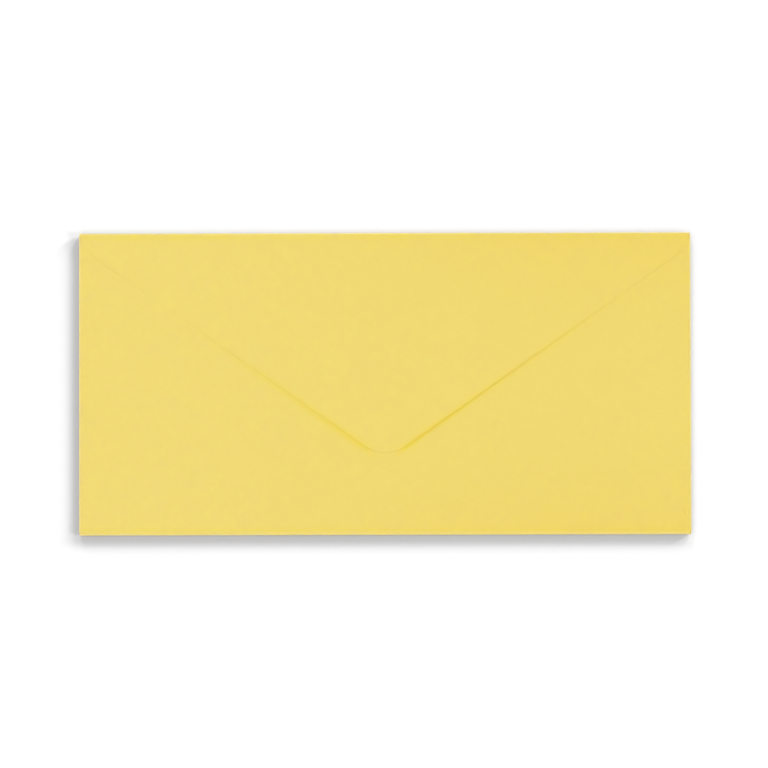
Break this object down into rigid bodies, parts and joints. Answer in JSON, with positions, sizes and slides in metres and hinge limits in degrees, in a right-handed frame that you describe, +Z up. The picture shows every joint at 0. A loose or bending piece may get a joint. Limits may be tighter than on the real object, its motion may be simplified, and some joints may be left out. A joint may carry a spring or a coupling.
{
  "type": "business envelope",
  "caption": "Long paper envelope with a deep pointed flap, closed but not stuck down, folded from a sheet with glued side seams.",
  "frame": {"origin": "under the middle of the envelope, on the surface that it lies on", "axes": "+X along the long side, +Y towards the fold of the flap, +Z up through the flap side"},
  "size_m": [0.22, 0.11, 0.0024],
  "materials": {
    "paper": "uncoated yellow paper, dyed through"
  },
  "bodies": {
    "root": {"envelope": "paper"}
  },
  "joints": []
}
